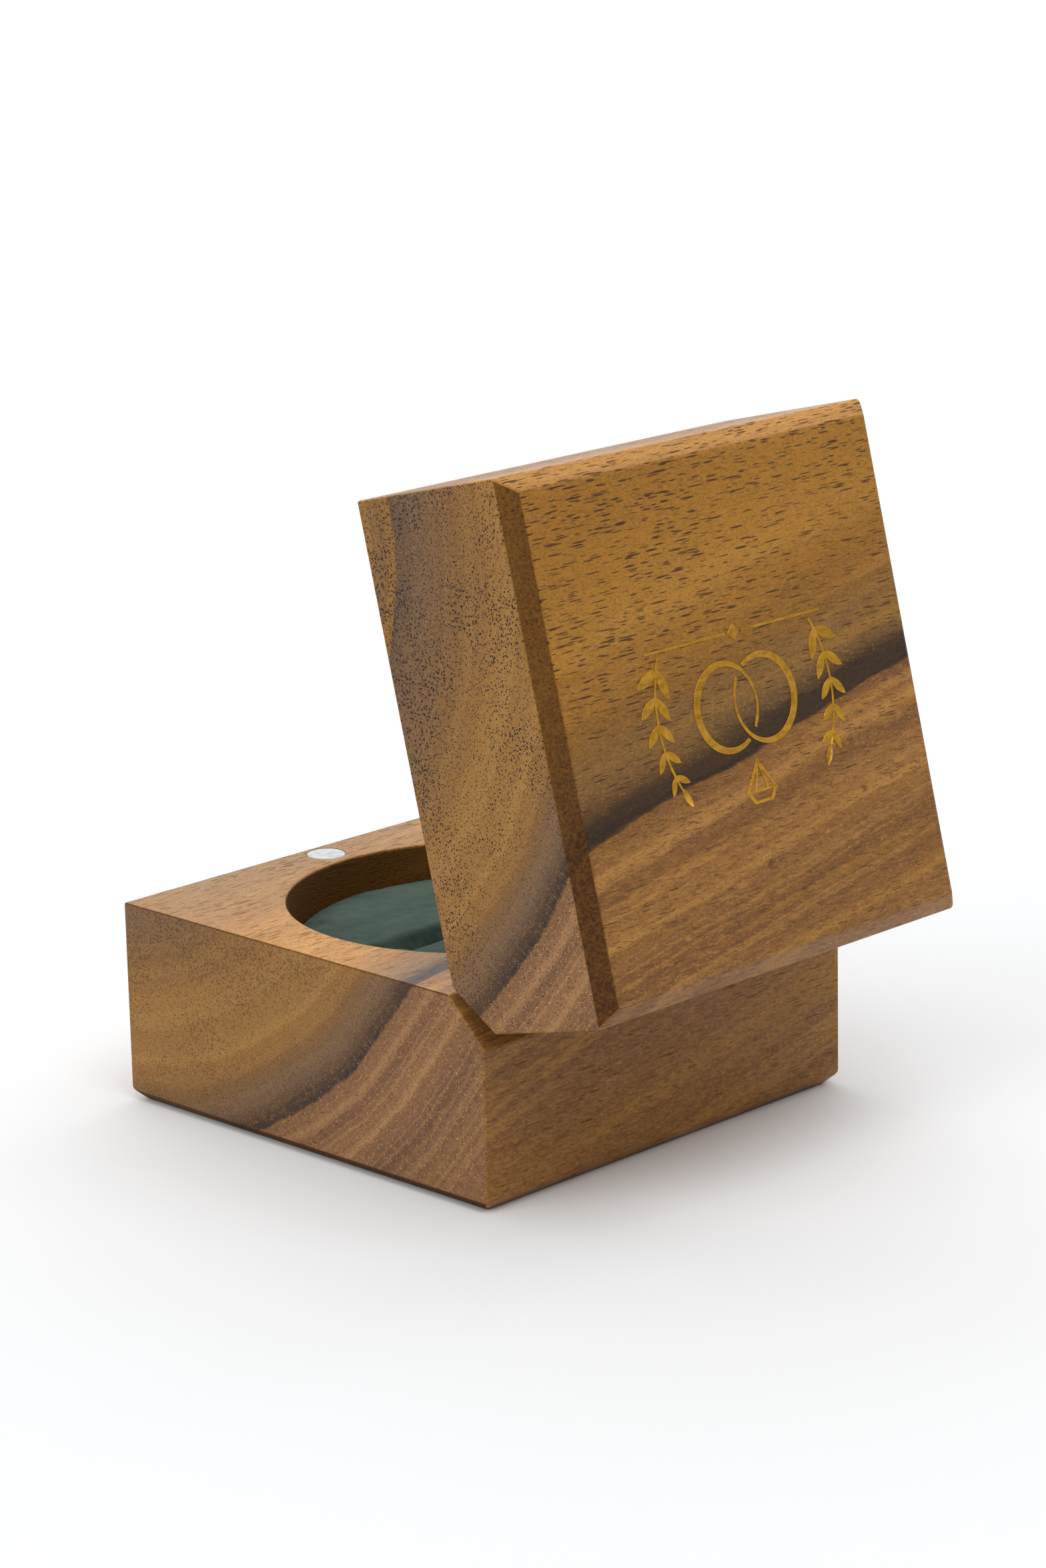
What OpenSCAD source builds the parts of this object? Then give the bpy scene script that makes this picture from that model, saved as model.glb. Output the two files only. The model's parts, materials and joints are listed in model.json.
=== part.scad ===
// Square wooden ring box. The lid opens on two concealed barrel hinges set in the rear edge.
// Frame: origin at the centre of the base's underside, X along the hinge line, +Y to the rear
// (the hinge side), +Z up. The lid is drawn partly open, at lid_open degrees.

/* [Box] */
// Width of both blocks, along the hinge line
box_w = 50; // [46:1:60]
// Depth of both blocks, front to rear
box_d = 50; // [49:1:60]
// Height of the base block
base_h = 20.5; // [18:0.5:26]
// Thickness of the lid block
lid_h = 19.5; // [17.5:0.5:25]
// How far the lid stands open, in degrees
lid_open = 76.25; // [0:0.25:94]

/* [Edges] */
// 45 degree chamfer on the rear mating edge of both blocks
hinge_chamfer = 4.5; // [4:0.1:4.8]
// Bevel round the lid's outer face
lid_bevel = 1.6; // [0.5:0.1:2.5]
// Bevel round the base's underside
foot_bevel = 1.1; // [0.3:0.1:2]

/* [Ring well] */
// Radius of the round well in each block
well_r = 19.3; // [17:0.1:19.3]
// Depth of the well in the base
base_well_depth = 14.5; // [12.5:0.5:15]
// Depth of the well in the lid
lid_well_depth = 14; // [10:0.5:14.5]

/* [Ring cushion] */
// How far the cushion's top lies below the base's rim
cushion_drop = 3.15; // [1.5:0.05:4]
// Length of the slit that grips the ring
slit_len = 21; // [16:0.5:26]
// Width of the slit
slit_w = 0.8; // [0.4:0.1:1.5]
// Depth of the slit
slit_depth = 8.5; // [5:0.5:9]
// Thickness of the velvet
velvet_t = 0.5; // [0.3:0.1:0.8]

/* [Magnets] */
// Diameter of each disc magnet
magnet_d = 4; // [3:0.5:4]
// Thickness of each disc magnet
magnet_t = 2; // [1:0.5:3]

/* [Hinges] */
// Distance of each hinge from the middle of the box
hinge_x = 14; // [12:0.5:17]
// Diameter of the hinge barrels
barrel_d = 5; // [4.6:0.1:5.4]
// Length of each barrel
barrel_l = 9; // [7:0.5:11]
// Distance of each hinge pin from the mating face
pin_inset = 2.2; // [2.1:0.1:2.5]

/* [Hidden] */
$fn = 96;
// How far a cutter runs past the face that it cuts
over = 1;

// The hinge line: where the rear chamfer meets the mating face
apex_y = box_d / 2 - hinge_chamfer;
// The link leans by half of the lid's opening
lean = lid_open / 2;
link_len = 2 * pin_inset;
lower_pin_z = base_h - pin_inset;
upper_pin_y = apex_y + link_len * sin(lean);
upper_pin_z = lower_pin_z + link_len * cos(lean);

pin_d = 1.2;
pin_l = 4.4;
plate_t = 0.6;
plates = 3;
plate_pitch = 0.64;
plate_end_d = 2.5;
plate_bore_d = 1.26;
slot_w = 2;
slot_clear = 0.15;

magnet_y = -box_d / 2 + magnet_d / 2 + 0.6;

base_floor_z = base_h - base_well_depth;
board_t = 1.2;
board_r = well_r - 0.8;
cushion_r = well_r - 0.1;
cushion_top_z = base_h - cushion_drop;
cushion_h = cushion_top_z - base_floor_z;
pad_card_t = 1;
pad_t = pad_card_t + 0.8;

foil_t = 0.06;

wood = "peru";
velvet = "darkslategray";
card = "gray";
foam = "whitesmoke";
brass = "goldenrod";
steel = "silver";
gold = "gold";

// ---------------------------------------------------------------- placing

// Moves a lid part from the lid's own frame, where z = 0 is the mating face, to the open pose
module on_lid() {
    translate([0, upper_pin_y, upper_pin_z])
        rotate([-lid_open, 0, 0])
            translate([0, -apex_y, -pin_inset])
                children();
}

// Moves a link part from the lower pin's frame to its leaning pose
module on_link(x) {
    translate([x, apex_y, lower_pin_z])
        rotate([-lean, 0, 0])
            children();
}

// ---------------------------------------------------------------- wooden blocks

// Extrudes a (y, z) outline across the width of the box
module across(width) {
    rotate([90, 0, 90])
        linear_extrude(width, center = true)
            children();
}

// Extrudes an (x, z) outline from front to rear
module front_to_rear(depth) {
    rotate([90, 0, 0])
        linear_extrude(depth, center = true)
            children();
}

// A rectangle that stands on y = 0, with both of its lower corners cut by c
module bevelled_outline(w, h, c) {
    polygon([
        [-w / 2 + c, 0], [w / 2 - c, 0], [w / 2, c],
        [w / 2, h], [-w / 2, h], [-w / 2, c]
    ]);
}

// The triangle that the rear chamfer takes from the edge where the blocks meet, at z = h
module chamfer_outline(h) {
    reach = hinge_chamfer + 2 * over;
    translate([apex_y, h])
        polygon([[-over, over], [reach, -reach], [reach, over]]);
}

// A block that stands on its bevelled face, with the rear chamfer at its top
module wooden_block(h, bevel) {
    difference() {
        intersection() {
            across(box_w) bevelled_outline(box_d, h, bevel);
            front_to_rear(box_d) bevelled_outline(box_w, h, bevel);
        }
        across(box_w + 2 * over) chamfer_outline(h);
    }
}

// The well, the magnet's pocket and the bores for the hinge barrels, below a mating face at z = h
module pockets(h, well_depth) {
    translate([0, 0, h - well_depth])
        cylinder(r = well_r, h = well_depth + over);
    translate([0, magnet_y, h - magnet_t])
        cylinder(d = magnet_d, h = magnet_t + over);
    for (x = [-hinge_x, hinge_x])
        translate([x, apex_y, h - barrel_l])
            cylinder(d = barrel_d, h = barrel_l + over);
}

module base_block() {
    color(wood)
        difference() {
            wooden_block(base_h, foot_bevel);
            pockets(base_h, base_well_depth);
        }
}

// The lid is the same block upside down, with its mating face at z = 0 in the lid's frame
module lid_block() {
    color(wood)
        on_lid()
            translate([0, 0, lid_h])
                mirror([0, 0, 1])
                    difference() {
                        wooden_block(lid_h, lid_bevel);
                        pockets(lid_h, lid_well_depth);
                    }
}

// ---------------------------------------------------------------- magnets

module disc_magnet() {
    cylinder(d = magnet_d, h = magnet_t);
}

module base_magnet() {
    color(steel)
        translate([0, magnet_y, base_h - magnet_t])
            disc_magnet();
}

module lid_magnet() {
    color(steel)
        on_lid()
            translate([0, magnet_y, 0])
                disc_magnet();
}

// ---------------------------------------------------------------- ring cushion

// A slit's width grows by twice the margin, and so do its length and its depth at one end
module slit(margin) {
    size = [slit_len + 2 * margin, slit_w + 2 * margin, slit_depth + margin + over];
    translate([-size[0] / 2, -size[1] / 2, cushion_top_z - slit_depth - margin])
        cube(size);
}

module foam_solid() {
    difference() {
        translate([0, 0, base_floor_z + board_t])
            cylinder(r = cushion_r - velvet_t, h = cushion_h - board_t - velvet_t);
        slit(velvet_t);
    }
}

module board_solid() {
    translate([0, 0, base_floor_z])
        cylinder(r = board_r, h = board_t);
}

module cushion_board() {
    color(card)
        board_solid();
}

module cushion_foam() {
    color(foam)
        foam_solid();
}

// The velvet wraps the foam, lines its slit and turns under the board's rim
module cushion_cover() {
    color(velvet)
        difference() {
            translate([0, 0, base_floor_z])
                cylinder(r = cushion_r, h = cushion_h);
            slit(0);
            foam_solid();
            board_solid();
        }
}

// ---------------------------------------------------------------- lid pad

module lid_card_solid() {
    translate([0, 0, lid_well_depth - pad_card_t])
        cylinder(r = board_r, h = pad_card_t);
}

module lid_pad_card() {
    color(card)
        on_lid()
            lid_card_solid();
}

module lid_pad_velvet() {
    color(velvet)
        on_lid()
            difference() {
                translate([0, 0, lid_well_depth - pad_t])
                    cylinder(r = cushion_r, h = pad_t);
                lid_card_solid();
            }
}

// ---------------------------------------------------------------- hinges

// A lower barrel: its top is cut along the mating face and the rear chamfer, and a slot, open to
// the rear, takes the link plates
module barrel() {
    slot_front = plate_end_d / 2 + slot_clear;
    slot_foot = base_h - pin_inset - plate_end_d / 2 - slot_clear;
    difference() {
        translate([0, apex_y, base_h - barrel_l])
            cylinder(d = barrel_d, h = barrel_l);
        across(barrel_d + 2 * over) chamfer_outline(base_h);
        translate([-slot_w / 2, apex_y - slot_front, slot_foot])
            cube([slot_w, slot_front + barrel_d, barrel_l]);
        hinge_pin(over);
    }
}

// A pin along X through the lower barrel, longer at each end by the given length
module hinge_pin(longer) {
    translate([0, apex_y, lower_pin_z])
        rotate([0, 90, 0])
            cylinder(d = pin_d, h = pin_l + 2 * longer, center = true);
}

// The upper half of a hinge is the lower half mirrored in the mating face
module upper_half() {
    on_lid()
        mirror([0, 0, 1])
            translate([0, 0, -base_h])
                children();
}

// One flat plate with round ends, bored for both pins
module link_plate() {
    rotate([0, 90, 0])
        difference() {
            union() {
                cylinder(d = plate_end_d, h = plate_t);
                translate([-link_len, 0, 0])
                    cylinder(d = plate_end_d, h = plate_t);
                translate([-link_len, -plate_end_d / 2, 0])
                    cube([link_len, plate_end_d, plate_t]);
            }
            translate([0, 0, -over])
                cylinder(d = plate_bore_d, h = plate_t + 2 * over);
            translate([-link_len, 0, -over])
                cylinder(d = plate_bore_d, h = plate_t + 2 * over);
        }
}

module plate_stack(x) {
    color(steel)
        on_link(x)
            for (i = [0 : plates - 1])
                translate([(i - (plates - 1) / 2) * plate_pitch - plate_t / 2, 0, 0])
                    link_plate();
}

module lower_barrel(x) {
    color(brass)
        translate([x, 0, 0])
            barrel();
}

module upper_barrel(x) {
    color(brass)
        upper_half()
            translate([x, 0, 0])
                barrel();
}

module lower_pin(x) {
    color(steel)
        translate([x, 0, 0])
            hinge_pin(0);
}

module upper_pin(x) {
    color(steel)
        upper_half()
            translate([x, 0, 0])
                hinge_pin(0);
}

// ---------------------------------------------------------------- foil decoration

// A generic wedding motif in gold foil on the lid's outer face: two linked rings under a gem,
// a leafy spray at each side and a fine rule in front.
ring_r = 4.3;
ring_inner_r = 3.75;
ring_shift = 0.28;
ring_x = 2.7;
link_gap = 0.3;
gem_y = 7.9;
gem_w = 4.2;
gem_line = 0.36;
// Heights and half widths of the gem, as shares of its width
gem_tip = 0.62;
gem_girdle = 0.08;
gem_top = 0.36;
gem_table = 0.3;
gem_facet = 0.2;
spray_r = 13;
spray_line = 0.26;
spray_start = -28;
spray_sweep = 56;
spray_shift = 1;
leaf_pairs = 5;
leaf_first = 5;
leaf_lean = 42;
leaf_taper = 0.09;
leaf_len = 3.1;
leaf_w = 1.05;
tip_leaf = 0.7;
rule_y = -6.6;
rule_l = 11;
rule_t = 0.22;
lozenge = 1.1;

module foil(t) {
    color(gold)
        on_lid()
            translate([0, 0, lid_h])
                linear_extrude(t)
                    children();
}

// A ring drawn with a stroke that is thick at one side and thin at the other
module ring_stroke(side) {
    difference() {
        translate([side * ring_x, 0]) circle(r = ring_r);
        translate([side * (ring_x - ring_shift), 0]) circle(r = ring_inner_r);
    }
}

// The band that one ring clears where it passes over the other, above or below the middle
module overpass(side, up) {
    intersection() {
        difference() {
            translate([side * ring_x, 0]) circle(r = ring_r + link_gap);
            translate([side * ring_x, 0]) circle(r = ring_inner_r - ring_shift - link_gap);
        }
        translate([-ring_x, up > 0 ? 0 : -ring_r]) square([2 * ring_x, ring_r]);
    }
}

module foil_rings() {
    foil(foil_t) {
        for (side = [-1, 1])
            difference() {
                ring_stroke(side);
                overpass(-side, side);
            }
    }
}

// A cut gem seen from the side: an outline with its girdle and two facet lines
module gem_outline(w) {
    polygon(w * [
        [0, -gem_tip], [0.5, gem_girdle], [gem_table, gem_top], [-gem_table, gem_top], [-0.5, gem_girdle]
    ]);
}

module facet_line(from, to) {
    run = to - from;
    translate(from)
        rotate(atan2(run[1], run[0]))
            translate([0, -gem_line / 3])
                square([norm(run), gem_line * 2 / 3]);
}

module foil_gem() {
    facet_x = gem_facet * gem_w;
    girdle_y = gem_girdle * gem_w;
    foil(foil_t)
        translate([0, gem_y])
            intersection() {
                gem_outline(gem_w);
                union() {
                    difference() {
                        gem_outline(gem_w);
                        gem_outline(gem_w - 2.2 * gem_line);
                    }
                    facet_line([-gem_w / 2, girdle_y], [gem_w / 2, girdle_y]);
                    for (side = [-1, 1])
                        facet_line([side * facet_x, girdle_y], [0, -gem_tip * gem_w + gem_line / 4]);
                }
            }
}

// A leaf from the origin along +X: where two circles overlap
module leaf(len, wide) {
    leaf_r = (len * len + wide * wide) / (4 * wide);
    intersection() {
        translate([len / 2, leaf_r - wide / 2]) circle(r = leaf_r);
        translate([len / 2, wide / 2 - leaf_r]) circle(r = leaf_r);
    }
}

// A curved stem with leaves on both sides, growing out and up from under the rings
module spray() {
    spray_end = spray_start + spray_sweep;
    translate([-spray_shift, 0])
        union() {
            intersection() {
                difference() {
                    circle(r = spray_r);
                    circle(r = spray_r - spray_line);
                }
                polygon(2 * spray_r * [
                    [0, 0], [cos(spray_start), sin(spray_start)], [cos(spray_end), sin(spray_end)]
                ]);
            }
            for (i = [0 : leaf_pairs - 1]) {
                shrink = 1 - leaf_taper * i;
                for (side = [-1, 1])
                    rotate(spray_start + leaf_first + i * spray_sweep / leaf_pairs)
                        translate([spray_r - spray_line / 2, 0])
                            rotate(90 - side * leaf_lean)
                                leaf(leaf_len * shrink, leaf_w * shrink);
            }
            rotate(spray_end)
                translate([spray_r - spray_line / 2, 0])
                    rotate(90)
                        leaf(leaf_len * tip_leaf, leaf_w * tip_leaf);
        }
}

module foil_right_spray() {
    foil(foil_t) spray();
}

module foil_left_spray() {
    foil(foil_t) mirror([1, 0]) spray();
}

// A fine rule with a small lozenge at its middle
module foil_rule() {
    foil(foil_t)
        translate([0, rule_y]) {
            for (side = [-1, 1])
                translate([side * (rule_l / 2 + lozenge), 0])
                    square([rule_l, rule_t], center = true);
            rotate(45)
                square(lozenge, center = true);
        }
}

// ---------------------------------------------------------------- nodes

base_block();
base_magnet();
cushion_board();
cushion_foam();
cushion_cover();
lower_barrel(-hinge_x);  // left_lower_barrel
lower_barrel(hinge_x);  // right_lower_barrel
lower_pin(-hinge_x);  // left_lower_pin
lower_pin(hinge_x);  // right_lower_pin
plate_stack(-hinge_x);  // left_link_plates
plate_stack(hinge_x);  // right_link_plates
lid_block();
lid_magnet();
lid_pad_card();
lid_pad_velvet();
upper_barrel(-hinge_x);  // left_upper_barrel
upper_barrel(hinge_x);  // right_upper_barrel
upper_pin(-hinge_x);  // left_upper_pin
upper_pin(hinge_x);  // right_upper_pin
foil_rings();
foil_gem();
foil_left_spray();
foil_right_spray();
foil_rule();
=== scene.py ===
"""Ring box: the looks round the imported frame. Lengths are in metres unless a name says mm."""
import json
import math

import bmesh
import bpy
from mathutils import Matrix, Vector, noise


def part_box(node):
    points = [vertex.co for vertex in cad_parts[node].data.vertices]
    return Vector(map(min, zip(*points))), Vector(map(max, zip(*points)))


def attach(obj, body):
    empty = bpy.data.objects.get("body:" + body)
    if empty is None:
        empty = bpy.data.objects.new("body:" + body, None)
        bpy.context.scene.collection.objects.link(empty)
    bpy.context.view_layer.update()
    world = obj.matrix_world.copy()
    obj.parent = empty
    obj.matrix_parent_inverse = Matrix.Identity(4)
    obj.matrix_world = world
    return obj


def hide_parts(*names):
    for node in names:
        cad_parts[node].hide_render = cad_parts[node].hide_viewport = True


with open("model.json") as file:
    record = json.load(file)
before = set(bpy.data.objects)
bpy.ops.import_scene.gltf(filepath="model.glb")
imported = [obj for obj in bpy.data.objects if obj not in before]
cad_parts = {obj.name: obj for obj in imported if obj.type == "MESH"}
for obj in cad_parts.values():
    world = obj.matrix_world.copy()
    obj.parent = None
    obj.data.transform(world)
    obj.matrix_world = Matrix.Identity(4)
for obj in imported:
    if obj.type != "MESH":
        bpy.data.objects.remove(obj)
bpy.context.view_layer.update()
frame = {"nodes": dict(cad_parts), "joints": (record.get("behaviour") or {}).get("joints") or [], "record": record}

MM = 0.001

# ---------------------------------------------------------------- places, from the frame

NODES = frame["nodes"]
JOINTS = {joint["name"]: joint for joint in frame["joints"]}

LOWER_PIN = Vector(JOINTS["link_pivot"]["pos_m"])
UPPER_PIN = Vector(JOINTS["lid_pivot"]["pos_m"])
LINK = UPPER_PIN - LOWER_PIN
LID_OPEN = 2 * math.atan2(LINK.y, LINK.z)
PIN_INSET = LINK.length / 2

BASE_LOW, BASE_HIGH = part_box("base_block")
BASE_H = BASE_HIGH.z
HALF_W = BASE_HIGH.x

# Takes a point of the open lid to the lid's own frame, where z = 0 is its mating face
TO_LID = (
    Matrix.Translation((0, LOWER_PIN.y, PIN_INSET))
    @ Matrix.Rotation(LID_OPEN, 4, "X")
    @ Matrix.Translation(-UPPER_PIN)
)
FROM_LID = TO_LID.inverted()

# ---------------------------------------------------------------- camera

CAMERA_AT = Vector((0.30005, 0.30241, 0.14736))
CAMERA_AZIMUTH = math.radians(44.64)     # of the camera as seen from the box, from +X towards +Y
CAMERA_ELEVATION = math.radians(15.19)
CAMERA_ROLL = math.radians(-1.2)
CAMERA_LENS_MM = 103.2


def add_camera():
    back = Vector((
        math.cos(CAMERA_ELEVATION) * math.cos(CAMERA_AZIMUTH),
        math.cos(CAMERA_ELEVATION) * math.sin(CAMERA_AZIMUTH),
        math.sin(CAMERA_ELEVATION),
    ))
    level = Vector((-math.sin(CAMERA_AZIMUTH), math.cos(CAMERA_AZIMUTH), 0))
    right = Matrix.Rotation(CAMERA_ROLL, 3, back) @ level
    up = back.cross(right)
    camera = bpy.data.objects.new("camera", bpy.data.cameras.new("camera"))
    bpy.context.scene.collection.objects.link(camera)
    turn = Matrix((right, up, back)).transposed().to_4x4()
    camera.matrix_world = Matrix.Translation(CAMERA_AT) @ turn
    camera.data.lens = CAMERA_LENS_MM
    camera.data.sensor_width = 36
    camera.data.clip_start = 0.01
    bpy.context.scene.camera = camera


add_camera()

# ---------------------------------------------------------------- shader building


def fill_ramp(band, stops):
    """stops are (place, colour), with places from 0 to 1."""
    while len(band.elements) < len(stops):
        band.elements.new(0.5)
    for element, (place, colour) in zip(band.elements, stops):
        element.position = place
        element.color = (*colour, 1)


class Shader:
    """A material's node tree, with one short call for each node that is used here."""

    def __init__(self, name):
        self.material = bpy.data.materials.new(name)
        self.material.use_nodes = True
        self.tree = self.material.node_tree
        self.tree.nodes.clear()
        self.out = self.tree.nodes.new("ShaderNodeOutputMaterial")
        self.surface = self.tree.nodes.new("ShaderNodeBsdfPrincipled")
        self.tree.links.new(self.surface.outputs[0], self.out.inputs["Surface"])

    def node(self, kind, inputs=None, **settings):
        made = self.tree.nodes.new(kind)
        for key, value in settings.items():
            setattr(made, key, value)
        for key, value in (inputs or {}).items():
            self.put(made.inputs[key], value)
        return made

    def put(self, socket, value):
        """Links an output to the socket, or sets the socket to a constant."""
        if isinstance(value, bpy.types.NodeSocket):
            self.tree.links.new(value, socket)
        elif isinstance(value, (tuple, list)) and len(value) == 3 and socket.type == "RGBA":
            socket.default_value = (*value, 1)
        else:
            socket.default_value = value

    def math(self, operation, a, b=0.0, c=0.0):
        return self.node("ShaderNodeMath", {0: a, 1: b, 2: c}, operation=operation).outputs[0]

    def vector(self, operation, a, b=(0, 0, 0), scale=1.0):
        other = {"Scale": scale} if operation == "SCALE" else {1: b}
        made = self.node("ShaderNodeVectorMath", {0: a, **other}, operation=operation)
        return made.outputs["Value" if operation in ("LENGTH", "DOT_PRODUCT") else "Vector"]

    def split(self, vector):
        return self.node("ShaderNodeSeparateXYZ", {0: vector}).outputs

    def join(self, x, y, z):
        return self.node("ShaderNodeCombineXYZ", {0: x, 1: y, 2: z}).outputs[0]

    def object_mm(self):
        """The rest-pose position in millimetres."""
        where = self.node("ShaderNodeTexCoord").outputs["Object"]
        return self.vector("SCALE", where, scale=1 / MM)

    def noise(self, where, scale=1.0, detail=2.0, rough=0.5):
        inputs = {"Vector": where, "Scale": scale, "Detail": detail, "Roughness": rough}
        return self.node("ShaderNodeTexNoise", inputs).outputs["Fac"]

    def voronoi(self, where, scale=1.0):
        return self.node("ShaderNodeTexVoronoi", {"Vector": where, "Scale": scale})

    def fade(self, value, low, high, to_low=0.0, to_high=1.0, smooth=True):
        """Maps low..high to to_low..to_high, held at both ends."""
        kind = "SMOOTHSTEP" if smooth else "LINEAR"
        made = self.node("ShaderNodeMapRange", {
            "Value": value, "From Min": low, "From Max": high, "To Min": to_low, "To Max": to_high,
        }, interpolation_type=kind)
        return made.outputs["Result"]

    def mix(self, share, a, b):
        made = self.node("ShaderNodeMix", data_type="RGBA", clamp_factor=True)
        colours = [s for s in made.inputs if s.type == "RGBA"]
        self.put(made.inputs["Factor"], share)
        self.put(colours[0], a)
        self.put(colours[1], b)
        return [s for s in made.outputs if s.type == "RGBA"][0]

    def ramp(self, value, stops):
        made = self.node("ShaderNodeValToRGB", {"Fac": value})
        fill_ramp(made.color_ramp, stops)
        return made.outputs["Color"]

    def bump(self, height, depth_mm):
        """Height 0..1 stands for depth_mm. Returns a normal."""
        inputs = {"Height": height, "Strength": 1.0, "Distance": depth_mm * MM}
        return self.node("ShaderNodeBump", inputs).outputs["Normal"]

    def set(self, **sockets):
        """Puts values on the shader's sockets, such as Base_Color=..."""
        for key, value in sockets.items():
            self.put(self.surface.inputs[key.replace("_", " ")], value)
        return self.material


# ---------------------------------------------------------------- wood

# Both blocks are sawn from one board and folded together like a book. In a block's own frame, x
# runs along the grain, y from front to rear, and t is the depth below the mating face. Growth rings
# are circles in (y, t) about a pith outside the block. The dark vein is the ring of radius VEIN_R.
VEIN_R = 56.0
WELL_R = 19.3
WELL_DEPTH = 14.5
PITH_DRIFT = 0.19        # how far the pith moves in y for each millimetre along x
RING_SPAN = (-40.0, 30.0)    # distances from the vein that the colour ramp covers, in mm

GOLD = (0.365, 0.154, 0.013)
GOLD_PALE = (0.455, 0.212, 0.026)
GOLD_DULL = (0.262, 0.114, 0.016)
SMOKE = (0.120, 0.064, 0.022)
HAZE = (0.200, 0.104, 0.030)
INK = (0.022, 0.012, 0.007)
UMBER = (0.105, 0.046, 0.014)
RUSSET = (0.318, 0.138, 0.034)
RUSSET_DARK = (0.185, 0.076, 0.022)
ROSE = (0.350, 0.190, 0.078)
AMBER = (0.520, 0.250, 0.060)


def ring_stops():
    """Colours by distance from the vein, in mm: the pith side is negative."""
    bands = [
        (-30.0, GOLD), (-29.7, SMOKE), (-27.4, GOLD), (-26.9, GOLD), (-26.6, SMOKE),
        (-23.6, HAZE), (-19.0, GOLD_DULL), (-14.5, GOLD), (-11.9, GOLD_PALE), (-11.5, GOLD),
        (-8.0, GOLD_PALE),
        (-7.6, GOLD), (-5.2, GOLD_DULL), (-3.7, HAZE), (-3.2, SMOKE), (-3.0, HAZE), (-2.6, HAZE),
        (-1.9, SMOKE), (-1.3, INK), (0.0, INK), (0.22, RUSSET_DARK),
        (1.70, RUSSET), (2.0, AMBER), (2.3, RUSSET), (3.4, RUSSET_DARK), (4.4, RUSSET), (6.0, RUSSET),
        (6.3, AMBER), (6.7, RUSSET), (9.0, RUSSET_DARK), (19.0, RUSSET), (30.0, RUSSET_DARK),
    ]
    low, high = RING_SPAN
    return [((at - low) / (high - low), colour) for at, colour in bands]


def block_frame(shader, in_lid):
    """The block's own (x, y, t) in mm."""
    where = shader.object_mm()
    if not in_lid:
        x, y, z = shader.split(where)
        return shader.join(x, y, shader.math("SUBTRACT", BASE_H / MM, z))
    turned = shader.node("ShaderNodeVectorRotate", {
        "Vector": where, "Center": tuple(UPPER_PIN / MM), "Angle": LID_OPEN,
    }, rotation_type="X_AXIS").outputs[0]
    shift = (UPPER_PIN - Vector((0, LOWER_PIN.y, PIN_INSET))) / MM
    return shader.vector("SUBTRACT", turned, tuple(shift))


def pores(shader, place, spacing, slender, widest, shift, grow, thin_out):
    """Slender open vessels along x, 0 or 1. spacing is in mm across the grain, slender is how many times
    longer than wide a cell is, widest is the largest radius as a share of the spacing, and thin_out is the
    share of cells that have no vessel."""
    scaled = shader.vector("MULTIPLY", place, (1 / (spacing * slender), 1 / spacing, 1 / spacing))
    scaled = shader.vector("ADD", scaled, (shift, shift * 1.7, shift * 2.3))
    cells = shader.voronoi(scaled)
    pick = shader.split(cells.outputs["Color"])
    off = shader.split(shader.vector("SUBTRACT", scaled, cells.outputs["Position"]))
    radius = shader.math("MULTIPLY", shader.fade(pick[0], 0.0, 1.0, 0.3 * widest, widest, smooth=False), grow)
    half_length = shader.fade(pick[1], 0.0, 1.0, 0.18, 0.46, smooth=False)
    across = shader.math("DIVIDE", shader.vector("LENGTH", shader.join(off[1], off[2], 0.0)), radius)
    along = shader.math("DIVIDE", off[0], half_length)
    inside = shader.fade(shader.vector("LENGTH", shader.join(across, along, 0.0)), 1.05, 0.65)
    return shader.math("MULTIPLY", inside, shader.math("GREATER_THAN", pick[2], thin_out))


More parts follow.
